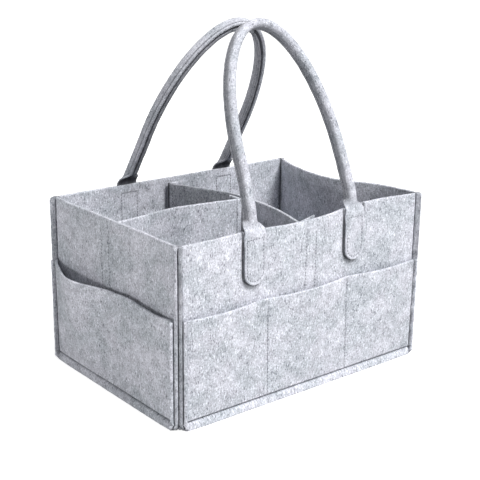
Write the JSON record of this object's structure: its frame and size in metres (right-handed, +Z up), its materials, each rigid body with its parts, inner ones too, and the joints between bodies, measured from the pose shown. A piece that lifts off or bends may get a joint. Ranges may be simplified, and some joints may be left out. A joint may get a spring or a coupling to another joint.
{
  "type": "diaper caddy",
  "caption": "Open rectangular felt caddy with outward sewn seams, pockets all round, lift-out dividers held by hook and loop tape, and folded strap handles that swing outward.",
  "frame": {"origin": "on the floor under the middle of the box", "axes": "+X along the long front wall to the right, -Y out of the front wall, +Z up"},
  "size_m": [0.3596, 0.246, 0.367],
  "materials": {
    "felt": "matt needle felt, mottled grey with light and dark fibres",
    "loop_tape": "brushed loop tape",
    "hook_tape": "moulded hook tape",
    "thread": "spun polyester sewing thread"
  },
  "bodies": {
    "box": {"base_panel": "felt", "front_wall": "felt", "right_wall": "felt", "back_wall": "felt", "left_wall": "felt", "front_pocket": "felt", "right_pocket": "felt", "back_pocket": "felt", "left_pocket": "felt", "front_pocket_left_seam": "thread", "front_pocket_right_seam": "thread", "back_pocket_left_seam": "thread", "back_pocket_right_seam": "thread", "front_handle_left_tab": "felt", "front_handle_right_tab": "felt", "back_handle_left_tab": "felt", "back_handle_right_tab": "felt", "front_handle_left_stitching": "thread", "front_handle_right_stitching": "thread", "back_handle_left_stitching": "thread", "back_handle_right_stitching": "thread", "front_wall_loop_tape": "loop_tape", "back_wall_loop_tape": "loop_tape", "left_wall_loop_tape": "loop_tape"},
    "front_handle": {"front_handle_strap": "felt"},
    "back_handle": {"back_handle_strap": "felt"},
    "cross_partition": {"cross_divider": "felt", "cross_divider_loop_tape": "loop_tape", "cross_divider_front_hook_tape": "hook_tape", "cross_divider_back_hook_tape": "hook_tape"},
    "long_partition": {"long_divider": "felt", "long_divider_left_hook_tape": "hook_tape", "long_divider_right_hook_tape": "hook_tape"}
  },
  "joints": [
    {"name": "front_handle_swing", "type": "hinge", "parent": "box", "child": "front_handle", "pos_m": [0, -0.11605, 0.172], "axis": [1, 0, 0], "range_deg": [0, 115]},
    {"name": "back_handle_swing", "type": "hinge", "parent": "box", "child": "back_handle", "pos_m": [0, 0.11605, 0.172], "axis": [-1, 0, 0], "range_deg": [0, 115]},
    {"name": "cross_divider_lift", "type": "slide", "parent": "box", "child": "cross_partition", "axis": [0, 0, 1], "range_m": [0, 0.155]},
    {"name": "long_divider_lift", "type": "slide", "parent": "box", "child": "long_partition", "axis": [0, 0, 1], "range_m": [0, 0.155]}
  ]
}
